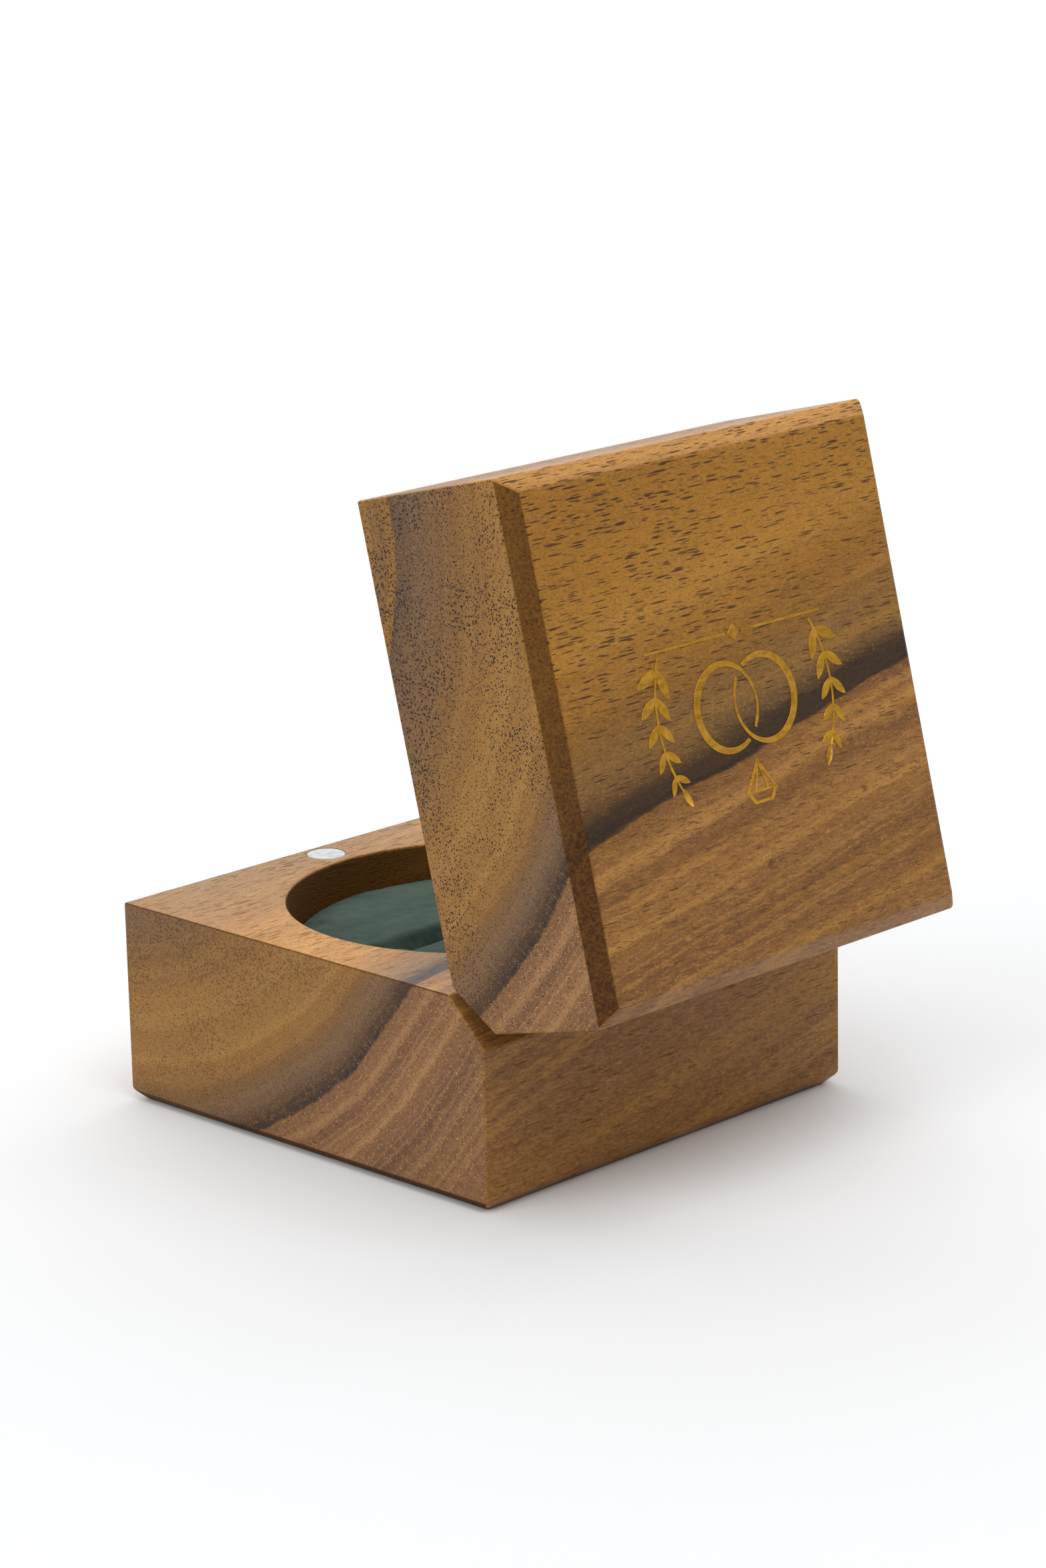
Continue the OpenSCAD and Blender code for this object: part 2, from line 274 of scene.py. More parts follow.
def wood(name, in_lid, pith_y, pith_t, pore_depth):
    shader = Shader(name)
    place = block_frame(shader, in_lid)
    x, y, t = shader.split(place)

    # Distance from the vein, made uneven along the grain and a little across it
    sway = shader.noise(shader.vector("MULTIPLY", place, (0.022, 0.05, 0.05)), detail=2.0)
    ripple = shader.noise(shader.vector("MULTIPLY", place, (0.16, 0.7, 0.7)), detail=3.0, rough=0.5)
    pith = shader.math("MULTIPLY_ADD", x, PITH_DRIFT, pith_y - PITH_DRIFT * HALF_W / MM)
    across = shader.math("SUBTRACT", y, pith)
    down = shader.math("SUBTRACT", t, pith_t)
    radius = shader.vector("LENGTH", shader.join(across, down, 0.0))
    off_vein = shader.math("SUBTRACT", radius, VEIN_R)
    off_vein = shader.math("ADD", off_vein, shader.fade(sway, 0.0, 1.0, -1.2, 1.2, smooth=False))
    off_vein = shader.math("ADD", off_vein, shader.fade(ripple, 0.0, 1.0, -0.30, 0.30, smooth=False))
    beyond = shader.fade(off_vein, -0.6, 0.8)
    normal = shader.node("ShaderNodeTexCoord").outputs["Normal"]
    if in_lid:
        to_block = {"Vector": normal, "Angle": LID_OPEN}
        normal = shader.node("ShaderNodeVectorRotate", to_block, rotation_type="X_AXIS").outputs[0]
    facing = shader.split(normal)
    along = shader.math("ABSOLUTE", facing[0])
    end_grain = shader.fade(along, 0.75, 0.98)

    # Colour by ring, then finer lines between the rings
    low, high = RING_SPAN
    ring_share = shader.fade(off_vein, low, high, smooth=False)
    colour = shader.ramp(ring_share, ring_stops())
    line_place = shader.join(
        shader.math("MULTIPLY", x, 0.02), shader.math("MULTIPLY", off_vein, 1.7),
        shader.math("MULTIPLY", across, 0.015))
    lines = shader.noise(line_place, detail=5.0, rough=0.68)
    line_depth = shader.fade(beyond, 0.0, 1.0, 0.14, 0.52)
    darker = shader.math("MULTIPLY", shader.fade(lines, 0.44, 0.68), line_depth)
    colour = shader.mix(darker, colour, RUSSET_DARK)
    lighter = shader.math("MULTIPLY", shader.fade(lines, 0.48, 0.28), line_depth)
    colour = shader.mix(shader.math("MULTIPLY", lighter, 0.8), colour, ROSE)

    # Thin pale lines every few millimetres
    pale_place = shader.join(shader.math("MULTIPLY", x, 0.012), shader.math("MULTIPLY", off_vein, 0.75), 4.0)
    pale_lines = shader.noise(pale_place, detail=1.5, rough=0.5)
    pale_line = shader.math(
        "MULTIPLY", shader.fade(pale_lines, 0.53, 0.60), shader.fade(pale_lines, 0.68, 0.60))
    pale_depth = shader.fade(beyond, 0.0, 1.0, 0.18, 0.42)
    colour = shader.mix(shader.math("MULTIPLY", pale_line, pale_depth), colour, AMBER)

    # Growth bands of a few millimetres
    band_place = shader.join(shader.math("MULTIPLY", x, 0.01), shader.math("MULTIPLY", off_vein, 0.42), 0.0)
    bands = shader.noise(band_place, detail=2.0, rough=0.6)
    colour = shader.mix(shader.fade(bands, 0.52, 0.70, 0.0, 0.45), colour, GOLD_DULL)
    colour = shader.mix(shader.fade(bands, 0.48, 0.32, 0.0, 0.45), colour, GOLD_PALE)

    # Slow drift of tone, as in a hand-picked board
    tone = shader.noise(shader.vector("MULTIPLY", place, (0.05, 0.13, 0.13)), detail=3.0)
    colour = shader.mix(shader.fade(tone, 0.35, 0.75, 0.0, 0.30), colour, GOLD_DULL)

    # Fibres: very fine and drawn out along the grain, curlier and stronger outside the vein
    curl = shader.noise(shader.vector("MULTIPLY", place, (0.35, 0.8, 0.8)), detail=2.0)
    curled = shader.math("MULTIPLY_ADD", shader.fade(curl, 0.0, 1.0, -0.8, 0.8, smooth=False), 1.0, y)
    fibre_place = shader.vector("MULTIPLY", shader.join(x, curled, t), (0.50, 4.5, 4.5))
    fibre = shader.noise(fibre_place, detail=4.0, rough=0.72)
    strong = shader.fade(beyond, 0.0, 1.0, 0.45, 1.0)
    dark_fibre = shader.math("MULTIPLY", shader.fade(fibre, 0.50, 0.74), strong)
    colour = shader.mix(dark_fibre, colour, UMBER)
    pale_fibre = shader.math("MULTIPLY", shader.fade(fibre, 0.48, 0.28), strong)
    colour = shader.mix(shader.math("MULTIPLY", pale_fibre, 0.55), colour, AMBER)

    # Speckle: cut fibre ends, finer than the pores
    speckle = shader.noise(shader.vector("MULTIPLY", place, (2.6, 6.5, 6.5)), detail=2.0, rough=0.6)
    colour = shader.mix(shader.fade(speckle, 0.50, 0.66, 0.0, 0.42), colour, UMBER)
    colour = shader.mix(shader.fade(speckle, 0.46, 0.32, 0.0, 0.30), colour, AMBER)

    # The vein's core is too dense to show them
    core = shader.math("MULTIPLY", shader.fade(off_vein, -1.9, -0.8), shader.fade(off_vein, 0.25, 0.05))
    core = shader.math("MULTIPLY", core, shader.fade(end_grain, 0.0, 1.0, 0.75, 0.30))
    colour = shader.mix(core, colour, INK)

    # Rays: on the end grain, hair-fine pale lines that run out from the pith
    turn = shader.math("MULTIPLY", shader.math("ARCTAN2", across, down), VEIN_R)
    ray_place = shader.join(shader.math("MULTIPLY", turn, 4.0), shader.math("MULTIPLY", radius, 0.35), x)
    rays = shader.noise(ray_place, detail=2.0, rough=0.6)
    ray = shader.math("MULTIPLY", shader.fade(rays, 0.56, 0.72), end_grain)
    colour = shader.mix(shader.math("MULTIPLY", ray, 0.20), colour, AMBER)

    # Pores in two sizes: dots on the end grain and dashes on the faces
    crowd = shader.noise(shader.vector("MULTIPLY", place, (0.05, 0.16, 0.16)), detail=2.0)
    grow = shader.fade(crowd, 0.32, 0.62, 0.75, 1.25)
    grow = shader.math("MULTIPLY", grow, shader.fade(off_vein, -12.0, -1.0, 1.0, 0.62))
    grow = shader.math("MULTIPLY", grow, shader.fade(end_grain, 0.0, 1.0, 1.0, 1.5))
    thin_out = shader.math("MULTIPLY_ADD", end_grain, 0.12, shader.fade(off_vein, -2.0, 1.0, 0.0, 0.55))
    alike = {"slender": 9.0, "widest": 0.34, "grow": grow, "thin_out": thin_out}
    wide = pores(shader, place, spacing=0.33, shift=0.0, **alike)
    fine = pores(shader, place, spacing=0.23, shift=7.3, **alike)
    pore = shader.math("MAXIMUM", wide, shader.math("MULTIPLY", fine, 0.95))
    pore_colour = shader.mix(end_grain, (0.075, 0.029, 0.007), (0.021, 0.016, 0.014))
    colour = shader.mix(shader.math("MULTIPLY", pore, pore_depth), colour, pore_colour)

    # Flecks of bright dust in the pores outside the vein, thickest along the pale lines
    fleck_cells = shader.voronoi(shader.vector("MULTIPLY", place, (1.2, 4.2, 4.2)))
    fleck_pick = shader.split(fleck_cells.outputs["Color"])
    fleck = shader.fade(fleck_cells.outputs["Distance"], 0.40, 0.22)
    fleck_band = shader.noise(shader.join(
        shader.math("MULTIPLY", off_vein, 0.9), shader.math("MULTIPLY", across, 0.02), 0.0))
    rare = shader.fade(end_grain, 0.0, 1.0, 1.30, 1.16)
    enough = shader.math("GREATER_THAN", shader.math("ADD", fleck_pick[1], fleck_band), rare)
    fleck = shader.math("MULTIPLY", shader.math("MULTIPLY", fleck, enough), shader.fade(off_vein, -3.5, 1.0))
    fleck = shader.math("MULTIPLY", fleck, shader.fade(end_grain, 0.0, 1.0, 0.25, 1.0))
    fleck = shader.math("MULTIPLY", fleck, shader.fade(core, 0.0, 0.75, 0.8, 0.1))
    colour = shader.mix(fleck, colour, (0.62, 0.31, 0.06))

    # Painted light: the mating face and the front face are brightened, standing in for the stronger light that
    # falls on them
    front = shader.fade(facing[1], -0.50, -0.65)
    mating = shader.fade(t, 0.15, 0.05)
    painted_light_gain = shader.math(
        "MAXIMUM", shader.fade(front, 0.0, 1.0, 1.0, 1.26), shader.fade(mating, 0.0, 1.0, 1.0, 1.6))
    colour = shader.vector("SCALE", colour, scale=painted_light_gain)

    # End grain drinks more oil, and is greyer
    drunk = shader.vector("MULTIPLY", colour, (0.86, 0.92, 1.5))
    colour = shader.mix(end_grain, colour, drunk)
    # Painted shade: bevels that run across the end grain are darkened towards a mottled deep brown, standing in
    # for the shade that falls on them
    cut = shader.math("MULTIPLY", shader.fade(along, 0.25, 0.60), shader.fade(along, 0.95, 0.80))
    corner = shader.fade(shader.math("ABSOLUTE", facing[1]), 0.30, 0.20)
    cut = shader.math("MULTIPLY", cut, corner)
    bevel_shade_depth = shader.fade(beyond, 0.0, 1.0, 0.80, 0.95)
    bevel_shade_mottle = shader.noise(shader.vector("MULTIPLY", place, (3.0, 3.0, 3.0)), detail=3.0, rough=0.7)
    bevel_shade_colour = shader.mix(shader.fade(bevel_shade_mottle, 0.40, 0.62), (0.046, 0.014, 0.002), (0.110, 0.042, 0.005))
    colour = shader.mix(shader.math("MULTIPLY", cut, bevel_shade_depth), colour, bevel_shade_colour)

    # Painted shade: the walls of the wells are darkened, standing in for the shade deep inside them
    painted_well_shade = shader.fade(shader.vector("LENGTH", shader.join(x, y, 0.0)), WELL_R + 0.15, WELL_R + 0.05)
    painted_well_shade = shader.math("MULTIPLY", painted_well_shade, shader.math("GREATER_THAN", t, 0.3))
    painted_well_shade = shader.math("MULTIPLY", painted_well_shade, shader.math("LESS_THAN", t, WELL_DEPTH + 0.2))
    colour = shader.mix(shader.math("MULTIPLY", painted_well_shade, 0.65), colour, (0.080, 0.034, 0.008))

    # Surface: sanded and oiled, so pores sink and fibres barely show
    height = shader.math("MULTIPLY_ADD", pore, -0.9, 1.0)
    height = shader.math("MULTIPLY_ADD", fibre, 0.16, height)
    scratch_place = shader.vector("MULTIPLY", shader.node("ShaderNodeVectorRotate", {
        "Vector": place, "Angle": math.radians(38),
    }, rotation_type="X_AXIS").outputs[0], (3.0, 0.25, 9.0))
    scratch = shader.noise(scratch_place, detail=2.0)
    height = shader.math("MULTIPLY_ADD", shader.fade(scratch, 0.62, 0.75), -0.12, height)
    roughness = shader.fade(fibre, 0.3, 0.8, 0.42, 0.56)
    roughness = shader.math("MULTIPLY_ADD", pore, 0.25, roughness)
    roughness = shader.math("MAXIMUM", roughness, shader.math("MULTIPLY", cut, 0.85))
    return shader.set(
        Base_Color=colour, Roughness=roughness, Normal=shader.bump(height, 0.045),
        Specular_IOR_Level=0.24)


# ---------------------------------------------------------------- metals, board, foam, velvet


def brass():
    shader = Shader("brass_turned")
    where = shader.object_mm()
    lathe = shader.noise(shader.vector("MULTIPLY", where, (1.5, 1.5, 14.0)), detail=3.0)
    tarnish = shader.noise(where, scale=0.9, detail=4.0)
    colour = shader.mix(shader.fade(tarnish, 0.4, 0.75), (0.83, 0.60, 0.27), (0.58, 0.37, 0.15))
    return shader.set(
        Base_Color=colour, Metallic=1.0, Roughness=shader.fade(lathe, 0.3, 0.7, 0.22, 0.40),
        Normal=shader.bump(lathe, 0.006))


def steel():
    shader = Shader("steel_stamped")
    where = shader.object_mm()
    grain = shader.noise(shader.vector("MULTIPLY", where, (2.0, 9.0, 3.0)), detail=3.0)
    colour = shader.mix(shader.fade(grain, 0.35, 0.7), (0.62, 0.61, 0.60), (0.42, 0.41, 0.41))
    return shader.set(
        Base_Color=colour, Metallic=1.0, Roughness=shader.fade(grain, 0.3, 0.7, 0.25, 0.42),
        Normal=shader.bump(grain, 0.005))


def nickel():
    shader = Shader("magnet_nickel")
    where = shader.object_mm()
    haze = shader.noise(where, scale=1.3, detail=4.0)
    nicks = shader.noise(shader.vector("MULTIPLY", where, (6.0, 1.0, 6.0)), detail=2.0)
    colour = shader.mix(shader.fade(haze, 0.35, 0.7), (0.46, 0.485, 0.505), (0.41, 0.435, 0.455))
    return shader.set(
        Base_Color=colour, Metallic=1.0, Roughness=shader.fade(haze, 0.3, 0.7, 0.36, 0.48),
        Normal=shader.bump(nicks, 0.004))


def gold_foil():
    shader = Shader("gold_foil")
    where = shader.object_mm()
    grain = shader.noise(shader.vector("MULTIPLY", where, (0.4, 2.5, 2.5)), detail=2.0, rough=0.5)
    wrinkle = shader.noise(where, scale=1.6, detail=3.0)
    colour = shader.mix(shader.fade(wrinkle, 0.3, 0.7), (0.92, 0.50, 0.06), (0.76, 0.36, 0.03))
    height = shader.math("MULTIPLY_ADD", wrinkle, 0.6, grain)
    return shader.set(
        Base_Color=colour, Metallic=1.0, Roughness=shader.fade(grain, 0.3, 0.7, 0.26, 0.38),
        Normal=shader.bump(height, 0.007))


def grey_board():
    shader = Shader("grey_board")
    where = shader.object_mm()
    pulp = shader.noise(where, scale=2.5, detail=5.0, rough=0.7)
    flecks = shader.noise(shader.vector("MULTIPLY", where, (1.0, 5.0, 5.0)), scale=1.5, detail=2.0)
    colour = shader.mix(shader.fade(pulp, 0.3, 0.7), (0.33, 0.31, 0.28), (0.24, 0.23, 0.21))
    colour = shader.mix(shader.fade(flecks, 0.64, 0.70), colour, (0.12, 0.10, 0.09))
    return shader.set(Base_Color=colour, Roughness=0.9, Normal=shader.bump(pulp, 0.03))


def foam():
    shader = Shader("cushion_foam")
    where = shader.object_mm()
    cells = shader.voronoi(where, scale=2.2)
    wall = shader.fade(cells.outputs["Distance"], 0.15, 0.5)
    colour = shader.mix(wall, (0.42, 0.40, 0.35), (0.78, 0.76, 0.70))
    return shader.set(Base_Color=colour, Roughness=0.95, Normal=shader.bump(wall, 0.12))


def velvet():
    shader = Shader("green_velvet")
    where = shader.object_mm()
    brushed = shader.noise(shader.vector("MULTIPLY", where, (0.16, 0.22, 0.22)), detail=3.0, rough=0.6)
    mottle = shader.noise(where, scale=0.9, detail=4.0, rough=0.65)
    pile = shader.noise(where, scale=9.0, detail=2.0, rough=0.6)
    nap = shader.math("MULTIPLY_ADD", mottle, 0.45, shader.math("MULTIPLY", brushed, 0.55))
    x, y, _ = shader.split(where)
    # Partly real, partly painted light: the cloth's brushed nap is mottled, and its lighter patches are a greyer
    # green that paints in the velvet's sheen; that painted sheen fades out towards the rim, leaving a deeper green
    rim = shader.fade(shader.vector("LENGTH", shader.join(x, y, 0.0)), 15.5, 19.0)
    nap_and_painted_sheen = shader.math("MULTIPLY", shader.fade(nap, 0.37, 0.63), shader.fade(rim, 0.0, 1.0, 1.0, 0.25))
    colour = shader.mix(nap_and_painted_sheen, (0.006, 0.036, 0.022), (0.046, 0.076, 0.057))
    colour = shader.mix(shader.fade(pile, 0.35, 0.7, 0.0, 0.5), colour, (0.010, 0.026, 0.020))
    height = shader.math("MULTIPLY_ADD", pile, 0.7, shader.math("MULTIPLY", mottle, 0.5))
    return shader.set(
        Base_Color=colour, Roughness=0.85, Normal=shader.bump(height, 0.10), Specular_IOR_Level=0.25,
        Sheen_Weight=0.28, Sheen_Roughness=0.45, Sheen_Tint=(0.58, 0.80, 0.68))


# Where the vein's circle is centred in each block
BASE_WOOD = wood("wood_base", in_lid=False, pith_y=-30.9, pith_t=-30.8, pore_depth=0.50)
LID_WOOD = wood("wood_lid", in_lid=True, pith_y=-25.0, pith_t=-24.9, pore_depth=0.96)
FINISHES = {
    "brass": brass(), "steel": steel(), "magnet": nickel(), "foil": gold_foil(),
    "board": grey_board(), "foam": foam(), "velvet": velvet(),
}


def paint(piece, material):
    piece.data.materials.clear()
    piece.data.materials.append(material)


SLOTS = {part["node"]: part["material_slot"] for part in frame["record"]["subparts"]}
for node_name, node in NODES.items():
    if SLOTS[node_name] == "wood":
        paint(node, LID_WOOD if node_name == "lid_block" else BASE_WOOD)
    else:
        paint(node, FINISHES[SLOTS[node_name]])

# ---------------------------------------------------------------- eased edges on the CAD pieces


def geometry_group(name):
    """An empty node group with one geometry in and one out, and its two ends."""
    group = bpy.data.node_groups.new(name, "GeometryNodeTree")
    for way in ("INPUT", "OUTPUT"):
        group.interface.new_socket("Geometry", in_out=way, socket_type="NodeSocketGeometry")
    return group, group.nodes.new("NodeGroupInput"), group.nodes.new("NodeGroupOutput")


def edge_nodes(name, short_share, short_mm):
    """A node group that joins split corners and marks each sharp edge for the bevel modifier.

    Edges shorter than short_mm belong to small bores, and are eased less.
    """
    group, enter, leave = geometry_group(name)
    make = group.nodes.new
    link = group.links.new
    merge = make("GeometryNodeMergeByDistance")
    merge.inputs["Distance"].default_value = 0.001 * MM
    clean = make("GeometryNodeRemoveAttribute")
    clean.inputs["Name"].default_value = "custom_normal"
    angle = make("GeometryNodeInputMeshEdgeAngle")
    sharp = make("FunctionNodeCompare")
    sharp.operation = "GREATER_THAN"
    sharp.inputs["B"].default_value = math.radians(30)
    ends = make("GeometryNodeInputMeshEdgeVertices")
    run = make("ShaderNodeVectorMath")
    run.operation = "DISTANCE"
    long_edge = make("FunctionNodeCompare")
    long_edge.operation = "GREATER_THAN"
    long_edge.inputs["B"].default_value = short_mm * MM
    weight = make("GeometryNodeSwitch")
    weight.input_type = "FLOAT"
    weight.inputs["False"].default_value = short_share
    weight.inputs["True"].default_value = 1.0
    only_sharp = make("GeometryNodeSwitch")
    only_sharp.input_type = "FLOAT"
    only_sharp.inputs["False"].default_value = 0.0
    store = make("GeometryNodeStoreNamedAttribute")
    store.data_type = "FLOAT"
    store.domain = "EDGE"
    store.inputs["Name"].default_value = "bevel_weight_edge"
    link(enter.outputs[0], merge.inputs["Geometry"])
    link(merge.outputs[0], clean.inputs["Geometry"])
    link(angle.outputs["Unsigned Angle"], sharp.inputs["A"])
    link(ends.outputs["Position 1"], run.inputs[0])
    link(ends.outputs["Position 2"], run.inputs[1])
    link(run.outputs["Value"], long_edge.inputs["A"])
    link(long_edge.outputs[0], weight.inputs["Switch"])
    link(sharp.outputs[0], only_sharp.inputs["Switch"])
    link(weight.outputs[0], only_sharp.inputs["True"])
    link(clean.outputs[0], store.inputs["Geometry"])
    link(only_sharp.outputs[0], store.inputs["Value"])
    link(store.outputs[0], leave.inputs[0])
    return group


def smooth_nodes():
    """A node group that shades smooth all but the edges that are still sharp."""
    group, enter, leave = geometry_group("smooth_but_sharp")
    make = group.nodes.new
    link = group.links.new
    faces = make("GeometryNodeSetShadeSmooth")
    faces.domain = "FACE"
    angle = make("GeometryNodeInputMeshEdgeAngle")
    blunt = make("FunctionNodeCompare")
    blunt.operation = "LESS_THAN"
    blunt.inputs["B"].default_value = math.radians(32)
    edges = make("GeometryNodeSetShadeSmooth")
    edges.domain = "EDGE"
    link(enter.outputs[0], faces.inputs["Geometry"])
    link(faces.outputs[0], edges.inputs["Geometry"])
    link(angle.outputs["Unsigned Angle"], blunt.inputs["A"])
    link(blunt.outputs[0], edges.inputs["Shade Smooth"])
    link(edges.outputs[0], leave.inputs[0])
    return group


SMOOTH = smooth_nodes()


def ease_edges(piece, round_mm, short_share=1.0, short_mm=0.9):
    """Rounds a CAD piece's sharp edges by modifiers, and leaves its own mesh alone."""
    mark = piece.modifiers.new("mark_edges", "NODES")
    mark.node_group = edge_nodes(piece.name + "_edges", short_share, short_mm)
    flat = piece.modifiers.new("merge_flat_faces", "DECIMATE")
    flat.decimate_type = "DISSOLVE"
    flat.angle_limit = math.radians(0.4)
    bevel = piece.modifiers.new("ease_edges", "BEVEL")
    bevel.width = round_mm * MM
    bevel.segments = 3
    bevel.limit_method = "WEIGHT"
    bevel.use_clamp_overlap = False
    smooth = piece.modifiers.new("shade", "NODES")
    smooth.node_group = SMOOTH
    tidy = piece.modifiers.new("even_normals", "WEIGHTED_NORMAL")
    tidy.keep_sharp = True
    tidy.weight = 100


EASE_MM = {"wood": 0.24, "brass": 0.12, "steel": 0.06, "magnet": 0.14, "foil": 0.02}
for node_name, node in NODES.items():
    if SLOTS[node_name] in EASE_MM:
        is_wood = SLOTS[node_name] == "wood"
        ease_edges(node, EASE_MM[SLOTS[node_name]], short_share=0.35 if is_wood else 1.0)

# ---------------------------------------------------------------- soft pieces, by cloth simulation

SIM_SCALE = 20.0         # the simulation runs on a copy this many times life size
VELVET_GAP = 0.05        # clear space between velvet and the well's wall, in mm


def object_from(mesh, name):
    made = bpy.data.objects.new(name, mesh)
    bpy.context.scene.collection.objects.link(made)
    return made


def evaluated(piece):
    """A new mesh with the piece's modifiers applied."""
    graph = bpy.context.evaluated_depsgraph_get()
    return bpy.data.meshes.new_from_object(piece.evaluated_get(graph))


def apply_modifiers(piece):
    made = evaluated(piece)
    piece.modifiers.clear()
    old, piece.data = piece.data, made
    bpy.data.meshes.remove(old)


def discard(piece):
    mesh = piece.data
    bpy.data.objects.remove(piece)
    bpy.data.meshes.remove(mesh)


def turned(name, profile, sides=96):
    """A closed solid turned about z. profile is (r, z) in mm, from the axis below to the axis above."""
    shape = bmesh.new()
    rings = []
    for r, z in profile:
        if r == 0:
            rings.append([shape.verts.new((0, 0, z * MM))])
            continue
        turns = [2 * math.pi * i / sides for i in range(sides)]
        rings.append([shape.verts.new((r * MM * math.cos(a), r * MM * math.sin(a), z * MM)) for a in turns])
    for low, high in zip(rings, rings[1:]):
        for i in range(sides):
            j = (i + 1) % sides
            corners = [low[i % len(low)], low[j % len(low)], high[j % len(high)], high[i % len(high)]]
            shape.faces.new(list(dict.fromkeys(corners)))
    bmesh.ops.recalc_face_normals(shape, faces=shape.faces)
    mesh = bpy.data.meshes.new(name)
    shape.to_mesh(mesh)
    shape.free()
    return object_from(mesh, name)


def pad_profile(radius, low, high, crown, roll):
    """A pad's half section in mm: flat below, a rolled edge of that radius, and a crowned top."""
    tucked = 0.6
    points = [(0, low), (radius * 0.5, low), (radius - tucked - 0.8, low), (radius - tucked, low + 0.5)]
    points += [(radius, low + (high - low) * 0.35), (radius, high - crown - roll)]
    steps = 8
    for i in range(1, steps + 1):
        a = math.pi / 2 * i / steps
        points.append((radius - roll + roll * math.cos(a), high - crown - roll + roll * math.sin(a)))
    for i in range(1, steps):
        r = (radius - roll) * (1 - i / steps)
        points.append((r, high - crown * (r / (radius - roll)) ** 2))
    return points + [(0, high)]


def swell(piece, voxel_mm, held, cap_mm):
    """Remeshes the piece and puffs it up as sewn cloth. held(x, y, z) in mm says which points stay put."""
    for vertex in piece.data.vertices:
        vertex.co *= SIM_SCALE
    remesh = piece.modifiers.new("remesh", "REMESH")
    remesh.mode = "VOXEL"
    remesh.voxel_size = voxel_mm * MM * SIM_SCALE
    apply_modifiers(piece)
    rest = [vertex.co.copy() for vertex in piece.data.vertices]
    pins = piece.vertex_groups.new(name="held")
    pins.add([i for i, co in enumerate(rest) if held(*(co / (SIM_SCALE * MM)))], 1.0, "REPLACE")
    cloth = piece.modifiers.new("cloth", "CLOTH")
    cloth.settings.quality = 6
    cloth.settings.mass = 0.3
    cloth.settings.tension_stiffness = 12
    cloth.settings.compression_stiffness = 12
    cloth.settings.bending_stiffness = 0.4
    cloth.settings.use_pressure = True
    cloth.settings.uniform_pressure_force = 4
    cloth.settings.effector_weights.gravity = 0
    cloth.settings.vertex_group_mass = "held"
    cloth.collision_settings.use_collision = False
    last = 20
    cloth.point_cache.frame_start, cloth.point_cache.frame_end = 1, last
    for frame_number in range(1, last + 1):
        bpy.context.scene.frame_set(frame_number)
    swollen = evaluated(piece)
    piece.modifiers.clear()
    cap = cap_mm * MM * SIM_SCALE
    for vertex, start, end in zip(piece.data.vertices, rest, swollen.vertices):
        move = end.co - start
        vertex.co = start + move * min(1.0, cap / max(move.length, cap * 0.001))
    bpy.data.meshes.remove(swollen)
    bpy.context.scene.frame_set(1)
    for vertex in piece.data.vertices:
        vertex.co /= SIM_SCALE
    finer = piece.modifiers.new("finer", "SUBSURF")
    finer.levels = finer.render_levels = 1
    apply_modifiers(piece)


def hold_inside(piece, radius, low, high):
    """Keeps a pad within its well: no point beyond the radius, or below or above those heights, in mm."""
    for vertex in piece.data.vertices:
        across = math.hypot(vertex.co.x, vertex.co.y)
        if across > radius * MM:
            vertex.co.x *= radius * MM / across
            vertex.co.y *= radius * MM / across
        vertex.co.z = min(max(vertex.co.z, low * MM), high * MM)


def brush(piece, floor_mm, depth_mm, size_mm):
    """Uneven pile: soft dents above floor_mm, at two sizes."""
    for vertex in piece.data.vertices:
        at = vertex.co / (size_mm * MM)
        rise = noise.noise(at) * 0.7 + noise.noise(at * 3.1 + Vector((7, 3, 5))) * 0.3
        share = min(max((vertex.co.z / MM - floor_mm) / 2, 0), 1)
        vertex.co.z += rise * depth_mm * MM * share


def smooth_shade(piece):
    for face in piece.data.polygons:
        face.use_smooth = True


# The ring cushion: two rolls that meet at the slit, wrapped in one velvet cover
BOARD_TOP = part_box("cushion_board")[1].z / MM
CUSHION_LOW, CUSHION_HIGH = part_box("cushion_cover")
CUSHION_R = CUSHION_HIGH.x / MM
CUSHION_TOP = CUSHION_HIGH.z / MM
SLIT_LONG, SLIT_DEEP = 21.0, 8.5


def groove(x, y):
    """How far the cover rolls down into the slit, 0 to 1."""
    end = min(max((SLIT_LONG / 2 + 1.5 - abs(x)) / 3, 0), 1)
    return math.exp(-(y / 1.25) ** 2) * end * end * (3 - 2 * end)


def press_groove(piece, depth_mm):
    for vertex in piece.data.vertices:
        if vertex.co.z > (BOARD_TOP + 5) * MM:
            vertex.co.z -= groove(vertex.co.x / MM, vertex.co.y / MM) * depth_mm * MM


def slit_cutter(name, width_top, width_foot, deep, margin=0.0):
    """A thin wedge, widest at its top, whose plan tapers to both ends."""
    half = SLIT_LONG / 2 + margin
    stations = 24
    shape = bmesh.new()
    sections = []
    for i in range(stations + 1):
        x = half * (2 * i / stations - 1)
        taper = max(math.sqrt(max(1 - (x / half) ** 2, 0)), 0.08)
        bend = 0.12 * math.sin(x * 0.45) + 0.05 * math.sin(x * 1.3)
        foot = CUSHION_TOP - deep * (0.35 + 0.65 * taper)
        rows = [(width_top / 2 * taper, CUSHION_TOP + 1.5), (width_foot / 2 * taper, foot)]
        corners = [(-rows[0][0], rows[0][1]), (-rows[1][0], rows[1][1]), (rows[1][0], rows[1][1]),
                   (rows[0][0], rows[0][1])]
        sections.append([shape.verts.new((x * MM, (y + bend) * MM, z * MM)) for y, z in corners])
    for left, right in zip(sections, sections[1:]):
        for i in range(4):
            shape.faces.new((left[i], left[(i + 1) % 4], right[(i + 1) % 4], right[i]))
    shape.faces.new(sections[0])
    shape.faces.new(list(reversed(sections[-1])))
    bmesh.ops.recalc_face_normals(shape, faces=shape.faces)
    mesh = bpy.data.meshes.new(name)
    shape.to_mesh(mesh)
    shape.free()
    return object_from(mesh, name)


